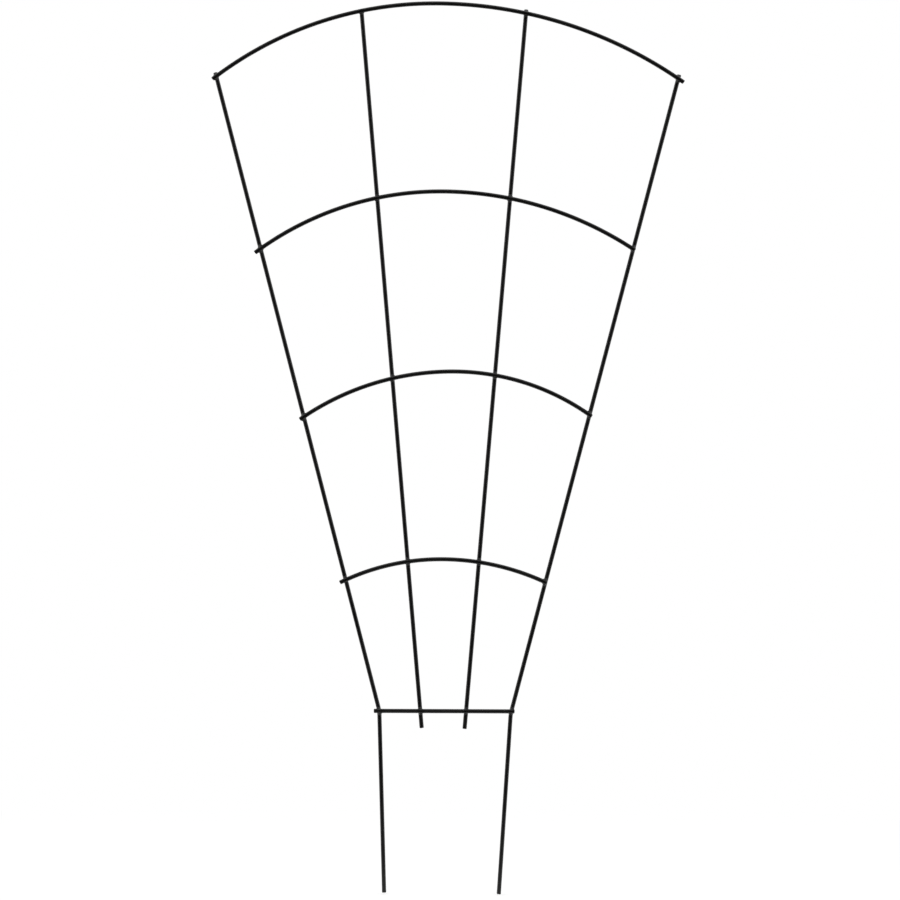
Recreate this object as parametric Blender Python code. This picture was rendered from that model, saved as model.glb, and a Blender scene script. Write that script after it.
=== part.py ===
"""Wire pot trellis: a fan of four uprights, four arches and a crossbar, welded wherever two wires cross.

Metres, +Z up. X runs to the right, and Y away from the front. The origin is on the centre line of the
crossbar, level with the lower leg tip, and halfway between the two layers of wire: the cross wires lie in
the front layer and the uprights in the back one. Angles are in degrees, and a lean is the way that a wire
runs, turned from straight up towards +X.
"""

import math
from dataclasses import dataclass
from typing import NamedTuple

import bmesh
import bpy
from mathutils import Matrix, Vector

# Whole fan: its height above the lower leg tip, its widths between the outer uprights at the crossbar and at
# the top arch, and how far to the right of its foot the fan is centred at the top
HEIGHT = 0.762
BAR_WIDTH = 0.1127
TOP_WIDTH = 0.3943
TOP_SHIFT = -0.0005

# Wire, and the gap between pieces that touch
WIRE_DIAMETER = 0.00365
CUT_END_ROUNDING = 0.0005
BEND_RADIUS = 0.035
TOUCH_GAP = 0.0003

# Weld beads: how far the outline reaches past the wires' sides, and the depth from front to back
WELD_REACH = 0.00025
WELD_DEPTH = 0.004

# Crossbar: how far its ends stand past the outer uprights
CROSSBAR_LEFT_END = 0.0048
CROSSBAR_RIGHT_END = 0.0028

# Facets
WIRE_SIDES = 16
ARC_STEP = 2.0
ROUNDING_STEPS = 2
BEAD_SIDES = 20
BEAD_RINGS = 10
SHARP_ANGLE = 60.0

# Finish
BLACK_COAT = (0.006, 0.006, 0.0065, 1.0)
WIRE_ROUGHNESS = 0.42
WELD_ROUGHNESS = 0.5


@dataclass(frozen=True)
class Leg:
    """The lower part of an outer upright: its lean, and its length from the bend to the tip."""

    lean: float
    length: float


@dataclass(frozen=True)
class Upright:
    """A wire that runs up the fan.

    bar_x and top_x are where it crosses the crossbar and the top arch. foot is how far below the crossbar
    it ends, or bends into its leg, and top_end is its length past the top arch.
    """

    name: str
    bar_x: float
    top_x: float
    foot: float
    top_end: float
    leg: Leg | None = None

    @property
    def lean(self):
        """The lean of its straight part, from the crossbar to the top arch."""
        across = self.top_x - self.bar_x
        return math.degrees(math.atan2(across, height_over_bar(TOP_ARCH, self.top_x)))

    @property
    def foot_length(self):
        """The straight length below the crossbar."""
        return self.foot / direction(self.lean).y


@dataclass(frozen=True)
class Arch:
    """A cross wire of two arcs that meet level at its crown.

    rise is the crown's height above the crossbar, and crown_x its place from side to side. left_end and
    right_end are the lengths of wire past the outer uprights.
    """

    name: str
    rise: float
    crown_x: float
    left_radius: float
    right_radius: float
    left_end: float
    right_end: float


OUTER_LEFT = Upright(
    name="outer_left",
    bar_x=-BAR_WIDTH / 2,
    top_x=TOP_SHIFT - TOP_WIDTH / 2,
    foot=0.0,
    top_end=0.0037,
    leg=Leg(lean=-1.73, length=0.1555),
)
INNER_LEFT = Upright(
    name="inner_left",
    bar_x=-0.0214,
    top_x=-0.0739,
    foot=0.0148,
    top_end=0.0016,
)
INNER_RIGHT = Upright(
    name="inner_right",
    bar_x=0.0177,
    top_x=0.0665,
    foot=0.0154,
    top_end=0.0035,
)
OUTER_RIGHT = Upright(
    name="outer_right",
    bar_x=BAR_WIDTH / 2,
    top_x=TOP_SHIFT + TOP_WIDTH / 2,
    foot=0.0021,
    top_end=0.0038,
    leg=Leg(lean=3.56, length=0.1545),
)
UPRIGHTS = (OUTER_LEFT, INNER_LEFT, INNER_RIGHT, OUTER_RIGHT)

WIRE_RADIUS = WIRE_DIAMETER / 2
LAYER_Y = (WIRE_DIAMETER + TOUCH_GAP) / 2


def direction(lean):
    """The way that a wire with this lean runs, as (x, z)."""
    angle = math.radians(lean)
    return Vector((math.sin(angle), math.cos(angle)))


def leg_depth(upright):
    """How far the lowest point of a leg lies below the crossbar."""
    along = direction(upright.leg.lean)
    flat_radius = WIRE_RADIUS - CUT_END_ROUNDING
    return upright.foot + upright.leg.length * along.y + flat_radius * abs(along.x)


BAR_HEIGHT = max(leg_depth(OUTER_LEFT), leg_depth(OUTER_RIGHT))

TOP_ARCH = Arch(
    name="top_arch",
    rise=HEIGHT - WIRE_RADIUS - BAR_HEIGHT,
    crown_x=-0.0104,
    left_radius=0.3102,
    right_radius=0.3701,
    left_end=0.0042,
    right_end=0.0059,
)
UPPER_ARCH = Arch(
    name="upper_arch",
    rise=0.4434,
    crown_x=-0.005,
    left_radius=0.2652,
    right_radius=0.3004,
    left_end=0.006,
    right_end=0.0017,
)
MIDDLE_ARCH = Arch(
    name="middle_arch",
    rise=0.2898,
    crown_x=0.006,
    left_radius=0.2282,
    right_radius=0.2024,
    left_end=0.0041,
    right_end=0.0023,
)
LOWER_ARCH = Arch(
    name="lower_arch",
    rise=0.1296,
    crown_x=-0.0037,
    left_radius=0.1953,
    right_radius=0.2125,
    left_end=0.0056,
    right_end=0.0013,
)
ARCHES = (TOP_ARCH, UPPER_ARCH, MIDDLE_ARCH, LOWER_ARCH)


class Ring(NamedTuple):
    """One round section of a wire: its centre, the wire's lean there, and its radius."""

    x: float
    z: float
    lean: float
    radius: float = WIRE_RADIUS


def moved(ring, distance, radius):
    """The ring moved along its wire, at another radius."""
    step = direction(ring.lean) * distance
    return Ring(ring.x + step.x, ring.z + step.y, ring.lean, radius)


def height_over_bar(arch, x):
    """How high above the crossbar the arch passes at this x."""
    radius = arch.left_radius if x < arch.crown_x else arch.right_radius
    return arch.rise - radius + math.sqrt(radius**2 - (x - arch.crown_x) ** 2)


def bar_point(upright):
    """Where the upright crosses the crossbar, as (x, z)."""
    return Vector((upright.bar_x, BAR_HEIGHT))


def arch_crossing(arch, upright):
    """Where the upright crosses the arch: the distance up from the crossbar, and the arch's slope there.

    The slope is counted from the crown, positive on the right. Each side of the arch is an arc whose
    centre lies below the crown, and the crossing is on the arc of its own side.
    """
    along = direction(upright.lean)
    crown = Vector((arch.crown_x, BAR_HEIGHT + arch.rise))
    for radius, side in ((arch.left_radius, -1), (arch.right_radius, 1)):
        offset = bar_point(upright) - crown + Vector((0.0, radius))
        across = along.dot(offset)
        distance = math.sqrt(across**2 - offset.length_squared + radius**2) - across
        spoke = offset + along * distance
        if side * spoke.x >= 0.0:
            break
    return distance, math.degrees(math.atan2(spoke.x, spoke.y))


def spread(start, end):
    """Evenly spaced angles from start to end, no more than ARC_STEP apart."""
    steps = max(2, math.ceil(abs(end - start) / ARC_STEP))
    return [start + (end - start) * step / steps for step in range(steps + 1)]


def arch_arc(radius, start, end):
    """Rings along an arc whose crown is the origin, from one slope to another."""
    rings = []
    for slope in spread(start, end):
        spoke = direction(slope) * radius
        rings.append(Ring(spoke.x, spoke.y - radius, 90.0 + slope))
    return rings


def arch_rings(arch):
    """The arch from its left end to its right end, with its crown at the origin."""
    _, left_slope = arch_crossing(arch, OUTER_LEFT)
    _, right_slope = arch_crossing(arch, OUTER_RIGHT)
    left_slope -= math.degrees(arch.left_end / arch.left_radius)
    right_slope += math.degrees(arch.right_end / arch.right_radius)
    left_arc = arch_arc(arch.left_radius, left_slope, 0.0)
    right_arc = arch_arc(arch.right_radius, 0.0, right_slope)
    return left_arc + right_arc[1:]


def leg_rings(leg, upright):
    """The leg's tip and the bend above it, with the upright's straight part along +Z from (0, 0)."""
    bend = leg.lean - upright.lean
    side = math.copysign(1.0, bend)
    tangent = BEND_RADIUS * math.tan(math.radians(abs(bend)) / 2)
    tip = direction(bend) * -leg.length
    rings = [Ring(tip.x, tip.y - upright.foot_length, bend)]
    for lean in spread(bend, 0.0):
        spoke = direction(lean) * BEND_RADIUS * side
        x = spoke.y - BEND_RADIUS * side
        z = tangent - abs(spoke.x) - upright.foot_length
        rings.append(Ring(x, z, lean))
    return rings


def upright_rings(upright):
    """The upright from its lower end to its top, with its straight part along +Z from the crossbar."""
    height, _ = arch_crossing(TOP_ARCH, upright)
    top = Ring(0.0, height + upright.top_end, 0.0)
    if upright.leg is None:
        return [Ring(0.0, -upright.foot_length, 0.0), top]
    return leg_rings(upright.leg, upright) + [top]


def crossbar_rings():
    """The crossbar from left to right, with the middle of the fan at x = 0."""
    left = OUTER_LEFT.bar_x - CROSSBAR_LEFT_END
    right = OUTER_RIGHT.bar_x + CROSSBAR_RIGHT_END
    return [Ring(left, 0.0, 90.0), Ring(right, 0.0, 90.0)]


def with_rounded_ends(rings):
    """The wire's rings with its end ones replaced by a few that shrink round the rim of each cut."""
    start = []
    end = []
    for step in range(ROUNDING_STEPS + 1):
        turn = math.radians(90.0 * step / ROUNDING_STEPS)
        inset = CUT_END_ROUNDING * (1.0 - math.cos(turn))
        radius = WIRE_RADIUS - CUT_END_ROUNDING * (1.0 - math.sin(turn))
        start.append(moved(rings[0], inset, radius))
        end.insert(0, moved(rings[-1], -inset, radius))
    return start + rings[1:-1] + end


def with_clearance(rings):
    """The wire's rings, larger by the gap that pieces keep when they touch."""
    radius = WIRE_RADIUS + TOUCH_GAP
    middle = [ring._replace(radius=radius) for ring in rings[1:-1]]
    return [moved(rings[0], -TOUCH_GAP, radius), *middle, moved(rings[-1], TOUCH_GAP, radius)]


def shade_round(mesh):
    mesh.shade_smooth()
    mesh.set_sharp_from_angle(angle=math.radians(SHARP_ANGLE))


def tube_mesh(name, rings):
    """A round bar through the rings, closed at both ends."""
    tube = bmesh.new()
    loops = []
    for ring in rings:
        centre = Matrix.Translation((ring.x, 0.0, ring.z))
        square_to_wire = Matrix.Rotation(math.radians(ring.lean), 4, "Y")
        circle = bmesh.ops.create_circle(
            tube, segments=WIRE_SIDES, radius=ring.radius, matrix=centre @ square_to_wire
        )
        loops.append(circle["verts"])
    for lower, upper in zip(loops, loops[1:]):
        for side in range(WIRE_SIDES):
            tube.faces.new((lower[side - 1], lower[side], upper[side], upper[side - 1]))
    tube.faces.new(reversed(loops[0]))
    tube.faces.new(loops[-1])
    mesh = bpy.data.meshes.new(name)
    tube.to_mesh(mesh)
    tube.free()
    shade_round(mesh)
    return mesh


def add_piece(name, mesh, location, turn, trellis):
    """Puts a mesh in the scene at a point, turned about Y."""
    piece = bpy.data.objects.new(name, mesh)
    piece.location = location
    piece.rotation_euler.y = turn
    piece.parent = trellis
    bpy.context.scene.collection.objects.link(piece)
    return piece


def add_wire(name, rings, location, lean, material, trellis):
    """A wire, and the hidden sleeve a touch gap outside it that cuts its seat into each weld."""
    mesh = tube_mesh(name, with_rounded_ends(rings))
    mesh.materials.append(material)
    turn = math.radians(lean)
    add_piece(name, mesh, location, turn, trellis)
    sleeve_name = name + "_sleeve"
    sleeve = add_piece(sleeve_name, tube_mesh(sleeve_name, with_clearance(rings)), location, turn, trellis)
    sleeve.hide_render = True
    sleeve.display_type = "WIRE"
    return sleeve


def bead_mesh(name, long_half, short_half, cut_ends):
    """An oval bead, long in X and short in Z, cut off flat where a wire ends short of its outline."""
    bead = bmesh.new()
    size = Matrix.Diagonal((long_half, WELD_DEPTH / 2, short_half, 1.0))
    poles_along_y = Matrix.Rotation(math.radians(90.0), 4, "X")
    bmesh.ops.create_uvsphere(
        bead, u_segments=BEAD_SIDES, v_segments=BEAD_RINGS, radius=1.0, matrix=size @ poles_along_y
    )
    for way, distance in cut_ends:
        parts = bead.verts[:] + bead.edges[:] + bead.faces[:]
        cut = bmesh.ops.bisect_plane(
            bead, geom=parts, plane_co=way * distance, plane_no=way, clear_outer=True
        )
        rim = [part for part in cut["geom_cut"] if isinstance(part, bmesh.types.BMEdge)]
        if rim:
            bmesh.ops.edgeloop_fill(bead, edges=rim)
    bmesh.ops.recalc_face_normals(bead, faces=bead.faces)
    mesh = bpy.data.meshes.new(name)
    bead.to_mesh(mesh)
    bead.free()
    shade_round(mesh)
    return mesh


def add_weld(name, point, leans, sleeves, wire_ends, material, trellis):
    """The bead round a crossing, seated on both wires.

    Its outline follows the crossing's four corners: long where the two wires part at a sharp angle, short
    where they part at a wide one. wire_ends gives the lean and the length of each wire that ends nearby.
    """
    ways = [direction(lean) for lean in leans]
    if ways[0].dot(ways[1]) < 0.0:
        ways[1] = -ways[1]
    half_angle = ways[0].angle(ways[1]) / 2
    middle = ways[0] + ways[1]
    turn = math.atan2(-middle.y, middle.x)
    into_bead = Matrix.Rotation(-turn, 3, "Y")
    cut_ends = []
    for lean, length in wire_ends:
        way = direction(lean)
        cut_ends.append((into_bead @ Vector((way.x, 0.0, way.y)), length))
    reach = WIRE_RADIUS + WELD_REACH
    mesh = bead_mesh(name, reach / math.sin(half_angle), reach / math.cos(half_angle), cut_ends)
    mesh.materials.append(material)
    weld = add_piece(name, mesh, (point.x, 0.0, point.y), turn, trellis)
    for sleeve in sleeves:
        seat = weld.modifiers.new("seat_in_" + sleeve.name, "BOOLEAN")
        seat.operation = "DIFFERENCE"
        seat.solver = "EXACT"
        seat.object = sleeve


def coat_material(name, roughness):
    material = bpy.data.materials.new(name)
    material.use_nodes = True
    shader = material.node_tree.nodes["Principled BSDF"]
    shader.inputs["Base Color"].default_value = BLACK_COAT
    shader.inputs["Roughness"].default_value = roughness
    shader.inputs["Metallic"].default_value = 0.0
    material.diffuse_color = BLACK_COAT
    return material


def cross_wire_ends(upright, slope, left_end, right_end):
    """The cross wire's own end beside an outer upright, as a lean and a length."""
    if upright is OUTER_LEFT:
        return [(slope - 90.0, left_end)]
    if upright is OUTER_RIGHT:
        return [(slope + 90.0, right_end)]
    return []


def add_uprights(material, trellis):
    """The four uprights. Returns the sleeve of each."""
    sleeves = {}
    for upright in UPRIGHTS:
        at_bar = (upright.bar_x, LAYER_Y, BAR_HEIGHT)
        rings = upright_rings(upright)
        name = upright.name + "_upright"
        sleeves[upright] = add_wire(name, rings, at_bar, upright.lean, material, trellis)
    return sleeves


def add_arch(arch, upright_sleeves, wire_coat, weld_coat, trellis):
    """An arch, and its four welds."""
    crown = (arch.crown_x, -LAYER_Y, BAR_HEIGHT + arch.rise)
    sleeve = add_wire(arch.name, arch_rings(arch), crown, 0.0, wire_coat, trellis)
    for upright in UPRIGHTS:
        distance, slope = arch_crossing(arch, upright)
        wire_ends = cross_wire_ends(upright, slope, arch.left_end, arch.right_end)
        if arch is TOP_ARCH:
            wire_ends.append((upright.lean, upright.top_end))
        add_weld(
            f"weld_{arch.name}_{upright.name}",
            bar_point(upright) + direction(upright.lean) * distance,
            (upright.lean, slope + 90.0),
            (upright_sleeves[upright], sleeve),
            wire_ends,
            weld_coat,
            trellis,
        )


def add_crossbar(upright_sleeves, wire_coat, weld_coat, trellis):
    """The crossbar, and its four welds."""
    middle = (0.0, -LAYER_Y, BAR_HEIGHT)
    sleeve = add_wire("crossbar", crossbar_rings(), middle, 0.0, wire_coat, trellis)
    for upright in UPRIGHTS:
        add_weld(
            f"weld_crossbar_{upright.name}",
            bar_point(upright),
            (upright.lean, 90.0),
            (upright_sleeves[upright], sleeve),
            cross_wire_ends(upright, 0.0, CROSSBAR_LEFT_END, CROSSBAR_RIGHT_END),
            weld_coat,
            trellis,
        )


def main():
    for obj in list(bpy.data.objects):
        bpy.data.objects.remove(obj)
    wire_coat = coat_material("wire_coat", WIRE_ROUGHNESS)
    weld_coat = coat_material("weld_coat", WELD_ROUGHNESS)
    trellis = bpy.data.objects.new("trellis", None)
    bpy.context.scene.collection.objects.link(trellis)
    upright_sleeves = add_uprights(wire_coat, trellis)
    for arch in ARCHES:
        add_arch(arch, upright_sleeves, wire_coat, weld_coat, trellis)
    add_crossbar(upright_sleeves, wire_coat, weld_coat, trellis)


main()
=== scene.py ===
"""Looks of the wire pot trellis: welded steel wire under a thin black satin coat, on a plain white floor.

Metres, +Z up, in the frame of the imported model. Every wire and weld is read from its CAD node: a wire's
centre line lies under the row of CAD corners along its back. Each CAD wire is replaced by a finer one with
an uneven coat, softly rounded cut ends and the flats that the welding tips pressed, and each weld by one
skin that runs from wire to wire as the coat does.
"""

import math
from typing import NamedTuple

import bpy
import numpy as np
from mathutils import Matrix, Vector, noise


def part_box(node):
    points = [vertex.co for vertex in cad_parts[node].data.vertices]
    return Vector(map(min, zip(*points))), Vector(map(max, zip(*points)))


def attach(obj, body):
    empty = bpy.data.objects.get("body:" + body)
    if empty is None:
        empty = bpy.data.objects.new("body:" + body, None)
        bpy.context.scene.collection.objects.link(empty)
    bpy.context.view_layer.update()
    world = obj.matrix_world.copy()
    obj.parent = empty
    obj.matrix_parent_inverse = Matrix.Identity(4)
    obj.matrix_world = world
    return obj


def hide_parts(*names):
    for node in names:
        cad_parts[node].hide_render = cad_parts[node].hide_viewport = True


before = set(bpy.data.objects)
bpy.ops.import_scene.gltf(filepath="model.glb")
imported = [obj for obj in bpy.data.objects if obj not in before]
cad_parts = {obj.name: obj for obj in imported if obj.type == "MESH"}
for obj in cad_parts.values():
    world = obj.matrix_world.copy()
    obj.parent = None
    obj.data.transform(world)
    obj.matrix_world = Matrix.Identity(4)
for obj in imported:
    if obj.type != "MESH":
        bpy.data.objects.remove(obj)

UPRIGHTS = ("outer_left", "inner_left", "inner_right", "outer_right")
CROSS_WIRES = ("top_arch", "upper_arch", "middle_arch", "lower_arch", "crossbar")
RANDOM_SEED = 7

# Marks on the pieces' vertices, from 0 to 1, that the coats read
THIN_COAT_MARK = "thin_coat"
# The weld mark brings in the weld tone, whose lighter colour is partly a painted highlight at the crossings
WELD_MARK = "weld"

# Reading the CAD wires
CREST_BAND = 2e-6  # corners this near a wire's greatest Y form the row along its back
SAME_POINT = 1e-5  # corners this close together are one point of that row
STRAIGHT_RUN = 0.02  # a longer step between two points is straight
CUT_ROUNDING_IN_CAD = 0.0005  # a cut face lies this far past the row's end

# Wire surface
WIRE_SIDES = 32
WIRE_STEP = 0.0015
COAT_DIP = 0.00003  # the coat is thinner by up to this much
COAT_DIP_SIZE = 0.007
CUT_ROUNDING = 0.0007
CUT_STEPS = 5
CUT_CLEARANCE = 2 * CUT_ROUNDING  # rings of full width keep this far from the ends
CUT_INSET = 0.00007  # a cut face lies at least this far inside that of the CAD wire
CUT_TILT = math.radians(4.0)
CUT_TILT_SHARES = (0.3, 1.0)  # the least and most of that tilt that a cut takes
THIN_COAT_LENGTH = 0.0009

# Flats pressed into the outer side of both wires at a weld
FLAT_DEPTH = 0.00014
FLAT_LENGTH = 0.0026
FLAT_REACH = 3 * FLAT_LENGTH  # past this a flat has faded out
FLAT_CROWN = 0.15  # share of its roundness that a flat keeps
UNDER_SKIN = 0.00003  # a wire's own flat lies this far below the skin's

# Weld skin, with its places given as distances from the crossing
SKIN_REACH = 0.0065
SKIN_CELL = 0.00027
SKIN_MARGIN = 2 * SKIN_CELL
SKIN_INSET = 0.000005  # the skin lies this far inside the wires and the bead that it covers
SINK_START = 0.0034  # from here to its rim it sinks into the long arms
SKIN_SINK = 0.00009  # by this much
HIDDEN_END = 0.0024  # as far as this the wires stay below the skin, and from SINK_START on they don't
HIDDEN_DEPTH = 0.00012  # by this much
WIRE_STRETCH = 1.5 * SKIN_REACH  # the skin's shape takes in the wires as far as this

# Bead between the two wires
BEAD_REACH = 0.00015  # how far it shows past the wires' edges
BEAD_HALF_DEPTH = 0.002
BEAD_SPREAD = 0.12  # share of its size by which a bead is larger or smaller
BEAD_DRIFT = 0.00018  # how far off the crossing it lies, at most

# How far the rounding reaches where wires, bead, cut ends and flats meet
CONTACT_BLEND = 0.0014
BEAD_BLEND = 0.0010
END_BLEND = 0.0009
FLAT_BLEND = 0.00025

# Lumps in the skin, which die out between LUMPS_FADE and SINK_START
LUMP_HEIGHT = 0.00005
LUMP_SIZE = 0.0011
LUMPS_FADE = 0.5 * SINK_START

# Moving the skin's vertices onto its surface
SLOPE_STEP = SKIN_CELL / 20.0
LEAST_STEEPNESS = 0.25
SETTLE_ROUNDS = 3

# Studio. FRONT_DIMMED and BACK_DIMMED are the shares of its front and back that reflections leave out. Each
# comes in between two places in Y, which are given as parts of a reach.
WHITE = (1.0, 1.0, 1.0, 1.0)
ROOM_LIGHT = 0.9  # strength of the room's light; where the room is seen, its strength is 1
ROOM_DIM_REACH = 1.0
FRONT_DIMMED = 1.0
FRONT_FADE = (-0.9, -0.15)
BACK_DIMMED = 0.4
BACK_FADE = (0.2, 0.9)
FLOOR_COLOUR = (0.82, 0.82, 0.82, 1.0)
FLOOR_GLOW = 0.22  # makes the lit floor white where it is seen, and lights nothing
FLOOR_RADIUS = 1.6
FLOOR_SIDES = 96
FLOOR_FADE = (0.2, 0.9)  # parts of its radius between which the floor turns white
FLOOR_DIM_REACH = 0.33

# Camera: the photograph takes in this width at the trellis, centred on this point and turned by this roll
LENS = 300.0
SENSOR = 36.0
PICTURE_WIDTH = 0.7681
PICTURE_CENTRE = Vector((0.0031, 0.0, 0.3792))
PICTURE_ROLL = math.radians(0.225)


class Softbox(NamedTuple):
    """A square lamp: where it hangs, the length of its sides and its power in watts."""

    name: str
    place: tuple
    size: float
    power: float


SOFTBOXES = (
    Softbox("left_softbox", (-2.0, -0.3, 1.1), 1.4, 3.0),
    Softbox("right_softbox", (2.0, -0.3, 1.1), 1.4, 3.0),
    Softbox("top_softbox", (0.0, -0.2, 2.5), 1.8, 5.0),
)


class Tone(NamedTuple):
    """A finish: its darkest and lightest colour, the noise levels they lie at, and its roughness.

    The roughness is given as the least and the greatest.
    """

    colours: tuple
    levels: tuple
    roughness: tuple


COAT = Tone(((0.0001, 0.0001, 0.0001), (0.0038, 0.0036, 0.0031)), (0.35, 0.68), (0.26, 0.42))
CUT_END = Tone(((0.005, 0.0048, 0.0045), (0.016, 0.0155, 0.0145)), (0.35, 0.65), (0.5, 0.62))
# The weld tone is a rougher coat over the weld, and its colour, lighter than the coat's, is partly a
# painted highlight at the crossings
WELD_TONE_AND_PAINTED_HIGHLIGHT = Tone(((0.001, 0.001, 0.001), (0.0065, 0.0063, 0.0058)), (0.35, 0.65), (0.4, 0.54))
COAT_SPECULAR = 0.42

# Features of the coat: light and dark patches, slow changes of sheen, orange peel, and grain
PATCH_SIZE = 0.006
CLOUD_SIZE = 0.045
PEEL_SIZE = 0.0012
PEEL_HEIGHT = 0.00009
GRAIN_SIZE = 0.00022
GRAIN_HEIGHT = 0.000014

# How finely noise is broken up, and the levels that most of it lies between
SMOOTH_NOISE = 2.0
BROKEN_NOISE = 3.0
NOISE_SPAN = (0.3, 0.7)

# Dust
DUST = (0.030, 0.029, 0.027)
DUST_SIZE = 0.0003
DUST_LEVELS = (0.5, 0.72)  # noise at which a speck begins, and at which it is thickest
DUST_SHARE = (0.2, 0.45)  # what the thickest specks hide of the coat, on steep sides and on those facing up
DUST_TILT = (0.2, 1.0)  # Z of the normal of a steep side, and of one that faces up


class Wire(NamedTuple):
    """A wire's centre line as (x, z) points with the unit direction at each, and where it lies in Y.

    Its cuts aren't quite square: each of the two has a slope sideways and a slope in Y.
    """

    node: str
    points: np.ndarray
    ways: np.ndarray
    layer: float
    radius: float
    cuts: np.ndarray


class Crossing(NamedTuple):
    """A place where an upright and a cross wire cross, as (x, z), and their directions there."""

    wires: tuple
    ways: tuple
    point: np.ndarray


class Arm(NamedTuple):
    """One of the four lengths of wire that leave a crossing. A short one ends within the weld's skin."""

    wire: Wire
    end: int
    way: np.ndarray
    short: bool


def unit(vectors):
    """Vectors of length 1 in the same directions."""
    return vectors / np.linalg.norm(vectors, axis=-1, keepdims=True)


def ease(values, start, end):
    """0 below start, 1 above end, and a smooth rise between."""
    share = np.clip((values - start) / (end - start), 0.0, 1.0)
    return share**2 * (3.0 - 2.0 * share)


def noise_at(place, size):
    """Smooth noise about 0.5, with features of the given size."""
    return 0.5 + 0.5 * noise.noise(Vector(place / size))


def crest_points(node):
    """The (x, z) of each ring of a CAD wire, in order along it."""
    corners = np.array([vertex.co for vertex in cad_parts[node].data.vertices])
    crest = corners[corners[:, 1] > corners[:, 1].max() - CREST_BAND]
    points = crest[:, (0, 2)]
    along = np.ptp(points, axis=0).argmax()
    points = points[points[:, along].argsort()]
    apart = np.linalg.norm(np.diff(points, axis=0), axis=1) > SAME_POINT
    return points[np.append(True, apart)]


def ways_at(points):
    """The wire's unit direction at each point. Steps longer than STRAIGHT_RUN are straight throughout."""
    steps = np.diff(points, axis=0)
    lengths = np.linalg.norm(steps, axis=1)
    slopes = steps / lengths[:, None]
    before, after = slopes[:-1], slopes[1:]
    length_before, length_after = lengths[:-1, None], lengths[1:, None]
    middle = (before * length_after + after * length_before) / (length_before + length_after)
    middle = np.where(length_before > STRAIGHT_RUN, before, middle)
    middle = np.where(length_after > STRAIGHT_RUN, after, middle)
    first = 2 * slopes[:1] - middle[:1] if len(middle) else slopes[:1]
    last = 2 * slopes[-1:] - middle[-1:] if len(middle) else slopes[-1:]
    return unit(np.concatenate((first, middle, last)))


def smooth_path(points):
    """Points at most WIRE_STEP apart on the smooth curve through the given ones."""
    ways = ways_at(points)
    path = []
    for start, end, way_out, way_in in zip(points, points[1:], ways, ways[1:]):
        length = np.linalg.norm(end - start)
        share = np.linspace(0.0, 1.0, math.ceil(length / WIRE_STEP), endpoint=False)[:, None]
        left = 1.0 - share
        path.append(
            left**2 * (1.0 + 2.0 * share) * start
            + left**2 * share * length * way_out
            + share**2 * (1.0 + 2.0 * left) * end
            - share**2 * left * length * way_in
        )
    return np.concatenate((*path, points[-1:]))


def crooked_cuts(rng):
    """Slopes of the cut faces at a wire's two ends."""
    tilts = math.tan(CUT_TILT) * rng.uniform(*CUT_TILT_SHARES, 2)
    turns = rng.uniform(0.0, math.tau, 2)
    return np.stack((tilts * np.cos(turns), tilts * np.sin(turns)), axis=1)


def read_wire(node, rng):
    """The wire that a CAD node describes, with crooked cuts of its own."""
    low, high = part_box(node)
    rings = crest_points(node)
    ways = ways_at(rings)
    first = rings[:1] - ways[:1] * CUT_ROUNDING_IN_CAD
    last = rings[-1:] + ways[-1:] * CUT_ROUNDING_IN_CAD
    points = smooth_path(np.concatenate((first, rings, last)))
    layer = (low.y + high.y) / 2
    radius = (high.y - low.y) / 2
    return Wire(node, points, ways_at(points), layer, radius, crooked_cuts(rng))


def find_crossing(upright, cross_wire):
    """Where the two centre lines cross, seen from the front."""
    apart = np.linalg.norm(upright.points[:, None] - cross_wire.points[None], axis=2)
    first, second = np.unravel_index(apart.argmin(), apart.shape)
    ways = (upright.ways[first], cross_wire.ways[second])
    offset = cross_wire.points[second] - upright.points[first]
    distance, _ = np.linalg.solve(np.stack((ways[0], -ways[1]), axis=1), offset)
    return Crossing((upright, cross_wire), ways, upright.points[first] + ways[0] * distance)


def arms_of(crossing):
    """The two arms of the upright and the two of the cross wire."""
    arms = []
    for wire, way in zip(crossing.wires, crossing.ways):
        for end, outward in ((0, -way), (-1, way)):
            short = np.linalg.norm(wire.points[end] - crossing.point) < SKIN_REACH
            arms.append(Arm(wire, end, outward, short))
    return arms


def add_piece(node, mesh, material):
    """Puts a finished mesh in the scene in the place of a CAD node."""
    mesh.shade_smooth()
    mesh.materials.append(material)
    piece = bpy.data.objects.new(node + "_coated", mesh)
    bpy.context.scene.collection.objects.link(piece)
    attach(piece, "root")
    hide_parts(node)


def add_mark(mesh, mark, values):
    """Gives each vertex its value of the mark."""
    layer = mesh.attributes.new(mark, "FLOAT", "POINT")
    layer.data.foreach_set("value", np.asarray(values, dtype=np.float32))


def flat_depth(distances):
    """How deep a weld's flat is pressed into the wires' outer sides, by distance from the crossing."""
    return FLAT_DEPTH * np.exp(-((distances / FLAT_LENGTH) ** 2))


def cut_fall(wire, end, sideways, deep):
    """How far short of the wire's very end its cut face is, at places sideways and deep from its centre."""
    slope = wire.cuts[end]
    return wire.radius * np.hypot(*slope) + slope[0] * sideways + slope[1] * deep


def ring_places(lengths):
    """How far along a wire each ring of its surface lies, and what its rounded ends take off the radius."""
    turns = np.linspace(0.0, math.pi / 2, CUT_STEPS + 1)
    depths = CUT_INSET + CUT_ROUNDING * (1.0 - np.cos(turns))
    losses = CUT_ROUNDING * (1.0 - np.sin(turns))
    inner = lengths[(lengths > CUT_CLEARANCE) & (lengths < lengths[-1] - CUT_CLEARANCE)]
    places = np.concatenate((depths, inner, lengths[-1] - depths[::-1]))
    return places, np.concatenate((losses, np.zeros(len(inner)), losses[::-1]))


def between_points(values, lengths, places):
    """What the values at the wire's points, in x and z, come to at places along it."""
    return np.stack([np.interp(places, lengths, values[:, axis]) for axis in range(2)], axis=1)


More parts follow.
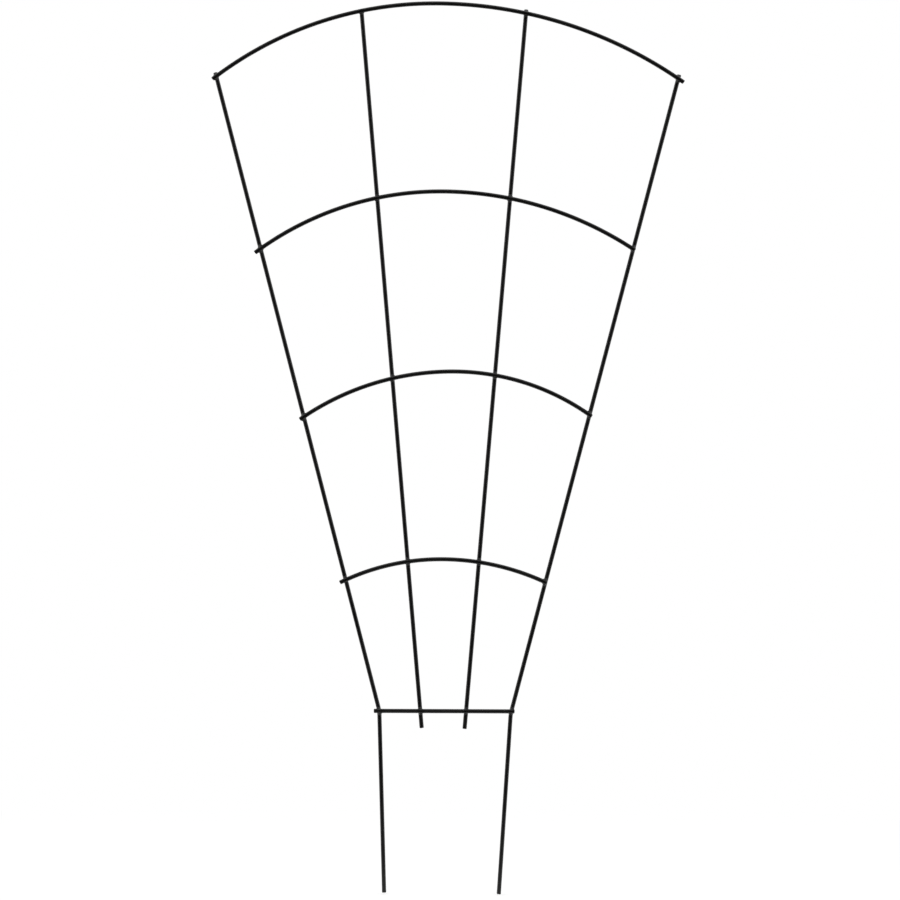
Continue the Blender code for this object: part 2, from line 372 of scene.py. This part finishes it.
def hidden_share(wire, centres, crossings):
    """How far each ring of a wire stays below the skins of its welds, from 0 to 1.

    Short arms stay below all the way to their ends.
    """
    share = np.zeros(len(centres))
    for crossing in crossings:
        offsets = centres - crossing.point
        below = 1.0 - ease(np.linalg.norm(offsets, axis=1), HIDDEN_END, SINK_START)
        for arm in arms_of(crossing):
            if arm.wire is wire:
                share = np.maximum(share, below)
                if arm.short:
                    share = np.maximum(share, ease(offsets @ arm.way, 0.0, HIDDEN_END))
    return share


def press_flats(corners, wire, centres, crossings):
    """Flattens the wire's outer side where the welding tips pressed it."""
    outward = math.copysign(1.0, wire.layer)
    outermost = abs(wire.layer) + wire.radius
    for crossing in crossings:
        if not any(other is wire for other in crossing.wires):
            continue
        distances = np.linalg.norm(centres - crossing.point, axis=1)
        limit = (outermost - flat_depth(distances) - UNDER_SKIN)[:, None]
        reach = corners[:, :, 1] * outward
        pressed = limit + (reach - limit) * FLAT_CROWN
        near = distances[:, None] < FLAT_REACH
        corners[:, :, 1] = np.where(near & (reach > limit), pressed, reach) * outward


def dip_coat(corners, wire, centres):
    """Makes the coat a little thinner in places."""
    middles = np.stack((centres[:, 0], np.full(len(centres), wire.layer), centres[:, 1]), axis=1)
    for ring, middle in zip(corners, middles):
        for corner in ring:
            dip = noise_at(corner, COAT_DIP_SIZE)
            corner += (middle - corner) / wire.radius * COAT_DIP * dip


def wire_surface(wire, crossings):
    """Rings of corners over the dressed wire, and how far each ring lies from the nearer end."""
    lengths = np.append(0.0, np.cumsum(np.linalg.norm(np.diff(wire.points, axis=0), axis=1)))
    places, losses = ring_places(lengths)
    centres = between_points(wire.points, lengths, places)
    ways = unit(between_points(wire.ways, lengths, places))
    hidden = HIDDEN_DEPTH * hidden_share(wire, centres, crossings)
    angles = np.arange(WIRE_SIDES) * math.tau / WIRE_SIDES
    radii = (wire.radius - losses - hidden)[:, None]
    sideways = radii * np.cos(angles)
    deep = radii * np.sin(angles)
    far_places = lengths[-1] - places
    near_share = np.exp(-places / CUT_ROUNDING)[:, None]
    far_share = np.exp(-far_places / CUT_ROUNDING)[:, None]
    near_fall = (cut_fall(wire, 0, sideways, deep) + hidden[0]) * near_share
    far_fall = (cut_fall(wire, -1, sideways, deep) + hidden[-1]) * far_share
    slide = near_fall - far_fall
    across = centres[:, :1] + sideways * ways[:, 1:] + slide * ways[:, :1]
    up = centres[:, 1:] - sideways * ways[:, :1] + slide * ways[:, 1:]
    corners = np.stack((across, wire.layer + deep, up), axis=-1)
    press_flats(corners, wire, centres, crossings)
    dip_coat(corners, wire, centres)
    return corners, np.minimum(places, far_places)


def tube_faces(rings):
    """Quads between neighbouring rings, and triangles from each end ring to its middle.

    The vertices of the two middles follow those of the rings.
    """
    last = rings * WIRE_SIDES
    faces = []
    for here in range(0, last - WIRE_SIDES, WIRE_SIDES):
        for side in range(WIRE_SIDES):
            after = (side + 1) % WIRE_SIDES
            faces.append((here + side, here + after, here + WIRE_SIDES + after, here + WIRE_SIDES + side))
    for side in range(WIRE_SIDES):
        after = (side + 1) % WIRE_SIDES
        faces.append((last, after, side))
        faces.append((last + 1, last - WIRE_SIDES + side, last - WIRE_SIDES + after))
    return faces


def add_wire(wire, crossings, material):
    """A wire with its uneven coat, rounded cut ends and pressed flats."""
    corners, depths = wire_surface(wire, crossings)
    middles = np.array((corners[0].mean(axis=0), corners[-1].mean(axis=0)))
    vertices = np.concatenate((corners.reshape(-1, 3), middles))
    mesh = bpy.data.meshes.new(wire.node)
    mesh.from_pydata(vertices.tolist(), [], tube_faces(len(corners)))
    thin = np.repeat(np.exp(-((depths / THIN_COAT_LENGTH) ** 2)), WIRE_SIDES)
    add_mark(mesh, THIN_COAT_MARK, np.append(thin, (1.0, 1.0)))
    add_piece(wire.node, mesh, material)


def blend_min(first, second, reach):
    """The smaller of two distances, rounded where they are within reach of each other."""
    near = np.maximum(reach - np.abs(first - second), 0.0) / reach
    return np.minimum(first, second) - near**2 * reach / 4.0


def blend_max(first, second, reach):
    """The larger of two distances, rounded in the same way."""
    return -blend_min(-first, -second, reach)


def past_cut(places, wire, end):
    """How far places lie past the cut face at one end of a wire."""
    way = wire.ways[-1] if end else -wire.ways[0]
    flat = places[:, (0, 2)] - wire.points[end]
    sideways = flat @ np.array((way[1], -way[0]))
    return flat @ way + cut_fall(wire, end, sideways, places[:, 1] - wire.layer)


def trim_at_cuts(distances, places, arms):
    """Ends a shape at the cut faces of the short arms."""
    for arm in arms:
        if arm.short:
            distances = blend_max(distances, past_cut(places, arm.wire, arm.end), END_BLEND)
    return distances


def wire_distance(places, crossing, wire):
    """Distance from places to the wire's surface near the crossing, flat where the wire ends."""
    near = np.linalg.norm(wire.points - crossing.point, axis=1) < WIRE_STRETCH
    stretch = wire.points[near]
    flat = places[:, (0, 2)]
    nearest = np.full(len(places), np.inf)
    for start, end in zip(stretch, stretch[1:]):
        along = end - start
        share = np.clip((flat - start) @ along / (along @ along), 0.0, 1.0)
        gaps = flat - start - share[:, None] * along
        nearest = np.minimum(nearest, (gaps**2).sum(axis=1))
    distances = np.sqrt(nearest + (places[:, 1] - wire.layer) ** 2) - wire.radius
    return trim_at_cuts(distances, places, [arm for arm in arms_of(crossing) if arm.wire is wire])


def bead_distance(places, crossing, shape):
    """Distance to an oval bead, which is longer towards the sharper corners of the crossing.

    The bead goes no further than a wire that ends beside the crossing.
    """
    sizes, drift = shape
    way, other_way = crossing.ways
    if way @ other_way < 0.0:
        other_way = -other_way
    long_way = unit(way + other_way)
    half_angle = math.acos(way @ other_way) / 2
    reach = crossing.wires[0].radius + BEAD_REACH
    halves = np.array((reach / math.sin(half_angle), BEAD_HALF_DEPTH, reach / math.cos(half_angle))) * sizes
    flat = places[:, (0, 2)] - crossing.point - drift
    short_way = np.array((-long_way[1], long_way[0]))
    local = np.stack((flat @ long_way, places[:, 1], flat @ short_way), axis=1)
    near = np.linalg.norm(local / halves, axis=1)
    steep = np.linalg.norm(local / halves**2, axis=1)
    # At the bead's very middle both are 0, and the divisor mustn't be
    distances = near * (near - 1.0) / np.maximum(steep, 1.0)
    return trim_at_cuts(distances, places, arms_of(crossing))


def skin_field(crossing, rng):
    """The function that is negative inside the coated weld, zero on its surface and positive outside it.

    The skin sinks into the long arms towards its rim and covers the short ones to their ends.
    """
    shape = (rng.uniform(1.0 - BEAD_SPREAD, 1.0 + BEAD_SPREAD, 3), rng.uniform(-BEAD_DRIFT, BEAD_DRIFT, 2))
    outermost = abs(crossing.wires[0].layer) + crossing.wires[0].radius
    long_ways = [arm.way for arm in arms_of(crossing) if not arm.short]

    def field(places):
        flat = places[:, (0, 2)] - crossing.point
        distances = np.linalg.norm(flat, axis=1)
        both = [wire_distance(places, crossing, wire) for wire in crossing.wires]
        metal = blend_min(*both, CONTACT_BLEND)
        metal = blend_min(metal, bead_distance(places, crossing, shape), BEAD_BLEND)
        flats = np.abs(places[:, 1]) - outermost + flat_depth(distances)
        metal = blend_max(metal, flats, FLAT_BLEND)
        along = np.max([flat @ way for way in long_ways], axis=0)
        sunk = SKIN_INSET + SKIN_SINK * ease(along, SINK_START, SKIN_REACH)
        return np.maximum(metal + sunk, distances - SKIN_REACH)

    return field


def cell_corners(low, high, cell):
    """Corners of a block of cubes that runs from low to high or just past it."""
    counts = np.ceil((high - low) / cell).astype(int) + 1
    axes = [low[axis] + cell * np.arange(counts[axis]) for axis in range(3)]
    return np.stack(np.meshgrid(*axes, indexing="ij"), axis=-1)


def net_surface(field, low, high, cell):
    """Vertices and quads of the field's zero surface: one vertex in each cell that it passes through.

    A cell's vertex is the mean of the points where the surface cuts its edges, and each edge that is cut
    has a quad round it.
    """
    corners = cell_corners(low, high, cell)
    values = field(corners.reshape(-1, 3)).reshape(corners.shape[:3])
    cells = np.array(values.shape) - 1
    totals = np.zeros((*cells, 3))
    counts = np.zeros(cells)
    edges = []
    for axis in range(3):
        near = np.take(values, range(cells[axis]), axis)
        far = np.take(values, range(1, cells[axis] + 1), axis)
        crossed = (near < 0.0) != (far < 0.0)
        share = np.where(crossed, near / np.where(crossed, near - far, 1.0), 0.0)
        points = np.take(corners, range(cells[axis]), axis).copy()
        points[..., axis] += share * cell
        edges.append((crossed, near < 0.0))
        for shift in ((0, 0), (0, 1), (1, 0), (1, 1)):
            window = [slice(None)] * 3
            for other, step in zip(((axis + 1) % 3, (axis + 2) % 3), shift):
                window[other] = slice(step, step + cells[other])
            window = tuple(window)
            totals += points[window] * crossed[window][..., None]
            counts += crossed[window]
    used = counts > 0
    numbers = np.full(counts.shape, -1)
    numbers[used] = np.arange(used.sum())
    quads = []
    for axis, (crossed, starts_inside) in enumerate(edges):
        place = np.array(np.nonzero(crossed))
        quad = []
        for shift in ((0, 0), (1, 0), (1, 1), (0, 1)):
            cell_index = place.copy()
            cell_index[(axis + 1) % 3] -= shift[0]
            cell_index[(axis + 2) % 3] -= shift[1]
            quad.append(numbers[tuple(cell_index)])
        quad = np.stack(quad, axis=1)
        inward = ~starts_inside[crossed]
        quad[inward] = quad[inward, ::-1]
        quads.append(quad)
    return totals[used] / counts[used][:, None], np.concatenate(quads)


def slopes_of(field, places):
    """The field's value at each place, and its slope along each axis."""
    slopes = []
    for axis in range(3):
        offset = np.zeros(3)
        offset[axis] = SLOPE_STEP
        slopes.append((field(places + offset) - field(places - offset)) / (2.0 * SLOPE_STEP))
    return field(places), np.stack(slopes, axis=1)


def settle(field, places):
    """Moves places onto the field's zero surface, and gives them with its outward directions there."""
    for _ in range(SETTLE_ROUNDS):
        values, slopes = slopes_of(field, places)
        steepness = np.maximum((slopes**2).sum(axis=1), LEAST_STEEPNESS)
        places = places - slopes * (values / steepness)[:, None]
    return places, unit(slopes)


def add_weld(crossing, material, rng):
    """The coated weld: one skin over both wires and the bead between them."""
    field = skin_field(crossing, rng)
    upright, cross_wire = crossing.wires
    middle = np.array((crossing.point[0], 0.0, crossing.point[1]))
    deep = abs(upright.layer) + upright.radius + SKIN_MARGIN
    half = np.array((SKIN_REACH + SKIN_MARGIN, deep, SKIN_REACH + SKIN_MARGIN))
    places, quads = net_surface(field, middle - half, middle + half, SKIN_CELL)
    places, outward = settle(field, places)
    distances = np.linalg.norm(places - middle, axis=1)
    uneven = 1.0 - ease(distances, LUMPS_FADE, SINK_START)
    for arm in arms_of(crossing):
        if arm.short:
            past = past_cut(places, arm.wire, arm.end)
            uneven = np.maximum(uneven, np.exp(-((past / THIN_COAT_LENGTH) ** 2)))
    lumps = np.array([noise_at(place, LUMP_SIZE) for place in places])
    places = places - outward * (lumps * uneven * LUMP_HEIGHT)[:, None]
    node = f"weld_{cross_wire.node}_{upright.node.removesuffix('_upright')}"
    mesh = bpy.data.meshes.new(node)
    mesh.from_pydata(places.tolist(), [], quads.tolist())
    # The weld mark brings in the weld tone, whose lighter colour is partly a painted highlight
    add_mark(mesh, WELD_MARK, uneven)
    add_piece(node, mesh, material)


def add_node(tree, kind, **sockets):
    """A shader node with some of its sockets set; an underscore in a name stands for a space."""
    made = tree.nodes.new("ShaderNode" + kind)
    for name, value in sockets.items():
        made.inputs[name.replace("_", " ")].default_value = value
    return made


def noise_node(tree, size, detail):
    """Noise in the trellis's own space, with features of the given size."""
    place = add_node(tree, "TexCoord")
    made = add_node(tree, "TexNoise", Scale=1.0 / size, Detail=detail)
    tree.links.new(place.outputs["Object"], made.inputs["Vector"])
    return made.outputs["Fac"]


def ramp_node(tree, source, tone):
    """The colours of a tone, by the level of the source."""
    ramp = add_node(tree, "ValToRGB")
    for element, colour, level in zip(ramp.color_ramp.elements, tone.colours, tone.levels):
        element.color = (*colour, 1.0)
        element.position = level
    tree.links.new(source, ramp.inputs["Fac"])
    return ramp.outputs["Color"]


def range_node(tree, source, low, high, span=NOISE_SPAN):
    """Low where the source is at or below its span, high at or above it, and an even change between."""
    made = add_node(tree, "MapRange", From_Min=span[0], From_Max=span[1], To_Min=low, To_Max=high)
    tree.links.new(source, made.inputs["Value"])
    return made.outputs["Result"]


def mix_node(tree, factor, first, second):
    """The first where the factor is 0, and the second where it is 1."""
    mix = add_node(tree, "MixRGB")
    tree.links.new(factor, mix.inputs["Fac"])
    tree.links.new(first, mix.inputs["Color1"])
    tree.links.new(second, mix.inputs["Color2"])
    return mix.outputs["Color"]


def math_node(tree, operation, first, second):
    """The result of an operation on two values."""
    made = add_node(tree, "Math")
    made.operation = operation
    tree.links.new(first, made.inputs[0])
    tree.links.new(second, made.inputs[1])
    return made.outputs["Value"]


def bump_node(tree, source, height, before=None):
    """The surface's direction with bumps of the given height, over any bumps that come before."""
    bump = add_node(tree, "Bump", Distance=height)
    tree.links.new(source, bump.inputs["Height"])
    if before:
        tree.links.new(before, bump.inputs["Normal"])
    return bump.outputs["Normal"]


def axis_node(tree, source, axis):
    """One axis of a place or direction."""
    axes = add_node(tree, "SeparateXYZ")
    tree.links.new(source, axes.inputs["Vector"])
    return axes.outputs[axis]


def dust_share(tree):
    """How much dust lies on the coat: fine specks everywhere, and more on sides that face up."""
    thick = range_node(tree, noise_node(tree, DUST_SIZE, BROKEN_NOISE), 0.0, 1.0, DUST_LEVELS)
    tilt = axis_node(tree, add_node(tree, "NewGeometry").outputs["Normal"], "Z")
    settled = range_node(tree, tilt, *DUST_SHARE, DUST_TILT)
    return math_node(tree, "MULTIPLY", thick, settled)


def coat_material(name, mark, tone):
    """Black satin coat. The mark, from 0 to 1, brings in another tone."""
    material = bpy.data.materials.new(name)
    material.use_nodes = True
    tree = material.node_tree
    shader = tree.nodes["Principled BSDF"]
    shader.inputs["Specular IOR Level"].default_value = COAT_SPECULAR
    patches = noise_node(tree, PATCH_SIZE, BROKEN_NOISE)
    cloud = noise_node(tree, CLOUD_SIZE, SMOOTH_NOISE)
    peel = noise_node(tree, PEEL_SIZE, SMOOTH_NOISE)
    grain = noise_node(tree, GRAIN_SIZE, SMOOTH_NOISE)
    marker = add_node(tree, "Attribute")
    marker.attribute_name = mark
    marked = marker.outputs["Fac"]

    clean = mix_node(tree, marked, ramp_node(tree, patches, COAT), ramp_node(tree, peel, tone))
    dusty = add_node(tree, "MixRGB", Color2=(*DUST, 1.0))
    tree.links.new(dust_share(tree), dusty.inputs["Fac"])
    tree.links.new(clean, dusty.inputs["Color1"])
    tree.links.new(dusty.outputs["Color"], shader.inputs["Base Color"])

    satin = range_node(tree, cloud, *COAT.roughness)
    rougher = range_node(tree, patches, *tone.roughness)
    tree.links.new(mix_node(tree, marked, satin, rougher), shader.inputs["Roughness"])

    orange_peel = bump_node(tree, peel, PEEL_HEIGHT)
    tree.links.new(bump_node(tree, grain, GRAIN_HEIGHT, orange_peel), shader.inputs["Normal"])
    return material


def background_share(tree):
    """1 for the rays that show the background: camera, glossy and transmission rays."""
    path = add_node(tree, "LightPath")
    share = math_node(tree, "MAXIMUM", path.outputs["Is Camera Ray"], path.outputs["Is Glossy Ray"])
    return math_node(tree, "MAXIMUM", share, path.outputs["Is Transmission Ray"])


def mix_shaders(tree, factor, first, second=None):
    """A mix of two shaders, or of one and black."""
    mix = add_node(tree, "MixShader")
    tree.links.new(factor, mix.inputs["Fac"])
    tree.links.new(first, mix.inputs[1])
    if second:
        tree.links.new(second, mix.inputs[2])
    return mix.outputs["Shader"]


def dim_reflected(tree, shader, place, reach):
    """Leaves the studio's front and some of its back out of reflections, and none of its sides."""
    deep = axis_node(tree, place, "Y")
    front = range_node(tree, deep, FRONT_DIMMED, 0.0, [part * reach for part in FRONT_FADE])
    back = range_node(tree, deep, 0.0, BACK_DIMMED, [part * reach for part in BACK_FADE])
    path = add_node(tree, "LightPath")
    factor = math_node(tree, "MULTIPLY", math_node(tree, "ADD", front, back), path.outputs["Is Glossy Ray"])
    return mix_shaders(tree, factor, shader)


def set_world():
    """A soft grey room that lights the trellis, and a white one where the background is seen."""
    world = bpy.data.worlds.new("studio")
    bpy.context.scene.world = world
    world.use_nodes = True
    tree = world.node_tree
    tree.nodes.clear()
    room = add_node(tree, "Background", Color=WHITE, Strength=ROOM_LIGHT)
    white = add_node(tree, "Background", Color=WHITE)
    seen = background_share(tree)
    both = mix_shaders(tree, seen, room.outputs["Background"], white.outputs["Background"])
    direction = add_node(tree, "TexCoord").outputs["Generated"]
    output = add_node(tree, "OutputWorld")
    tree.links.new(dim_reflected(tree, both, direction, ROOM_DIM_REACH), output.inputs["Surface"])


def floor_material():
    """Pale floor that keeps shadows near the trellis and runs out into the white background at its rim."""
    material = bpy.data.materials.new("floor")
    material.use_nodes = True
    tree = material.node_tree
    tree.nodes.clear()
    seen = background_share(tree)
    pale = add_node(tree, "BsdfDiffuse", Color=FLOOR_COLOUR)
    glow = add_node(tree, "Emission", Color=WHITE)
    tree.links.new(range_node(tree, seen, 0.0, FLOOR_GLOW, (0.0, 1.0)), glow.inputs["Strength"])
    near = add_node(tree, "AddShader")
    tree.links.new(pale.outputs["BSDF"], near.inputs[0])
    tree.links.new(glow.outputs["Emission"], near.inputs[1])
    white = add_node(tree, "Emission", Color=WHITE)
    place = add_node(tree, "TexCoord").outputs["Object"]
    distance = add_node(tree, "VectorMath")
    distance.operation = "LENGTH"
    tree.links.new(place, distance.inputs[0])
    fade = [part * FLOOR_RADIUS for part in FLOOR_FADE]
    rise = range_node(tree, distance.outputs["Value"], 0.0, 1.0, fade)
    far_share = math_node(tree, "MULTIPLY", rise, seen)
    both = mix_shaders(tree, far_share, near.outputs["Shader"], white.outputs["Emission"])
    output = add_node(tree, "OutputMaterial")
    tree.links.new(dim_reflected(tree, both, place, FLOOR_DIM_REACH), output.inputs["Surface"])
    return material


def add_floor():
    """A round floor at the level of the lower leg tip, which belongs to the studio."""
    turns = [math.tau * side / FLOOR_SIDES for side in range(FLOOR_SIDES)]
    rim = [(FLOOR_RADIUS * math.cos(turn), FLOOR_RADIUS * math.sin(turn), 0.0) for turn in turns]
    mesh = bpy.data.meshes.new("floor")
    mesh.from_pydata(rim, [], [tuple(range(FLOOR_SIDES))])
    mesh.materials.append(floor_material())
    floor = bpy.data.objects.new("floor", mesh)
    bpy.context.scene.collection.objects.link(floor)


def add_softbox(softbox):
    """Hangs a lamp so that it faces the middle of the trellis."""
    light = bpy.data.lights.new(softbox.name, "AREA")
    light.size = softbox.size
    light.energy = softbox.power
    lamp = bpy.data.objects.new(softbox.name, light)
    lamp.location = softbox.place
    aim = Vector((0.0, 0.0, PICTURE_CENTRE.z)) - Vector(softbox.place)
    lamp.rotation_euler = aim.to_track_quat("-Z", "Y").to_euler()
    lamp.visible_camera = False
    bpy.context.scene.collection.objects.link(lamp)


def add_camera():
    """A long lens square to the trellis, as far back as makes the picture's width the photograph's."""
    camera_data = bpy.data.cameras.new("camera")
    camera_data.lens = LENS
    camera_data.sensor_width = SENSOR
    camera = bpy.data.objects.new("camera", camera_data)
    distance = PICTURE_WIDTH * LENS / SENSOR
    place = Matrix.Translation(PICTURE_CENTRE - Vector((0.0, distance, 0.0)))
    level = Matrix.Rotation(math.radians(90.0), 4, "X")
    camera.matrix_world = place @ level @ Matrix.Rotation(PICTURE_ROLL, 4, "Z")
    bpy.context.scene.collection.objects.link(camera)
    bpy.context.scene.camera = camera


def main():
    """Dresses the trellis, lights it and sets the camera."""
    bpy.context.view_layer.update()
    rng = np.random.default_rng(RANDOM_SEED)
    wire_coat = coat_material("black_wire_coat", THIN_COAT_MARK, CUT_END)
    # The weld coat's colour, lighter than the wire coat's, is partly a painted highlight at the crossings
    weld_coat_and_painted_highlight = coat_material("black_weld_coat_and_painted_highlight", WELD_MARK, WELD_TONE_AND_PAINTED_HIGHLIGHT)
    uprights = [read_wire(name + "_upright", rng) for name in UPRIGHTS]
    cross_wires = [read_wire(name, rng) for name in CROSS_WIRES]
    crossings = [find_crossing(upright, cross_wire) for cross_wire in cross_wires for upright in uprights]
    for wire in uprights + cross_wires:
        add_wire(wire, crossings, wire_coat)
    for crossing in crossings:
        add_weld(crossing, weld_coat_and_painted_highlight, rng)
    set_world()
    add_floor()
    for softbox in SOFTBOXES:
        add_softbox(softbox)
    add_camera()
    bpy.context.scene.view_settings.view_transform = "Standard"


main()
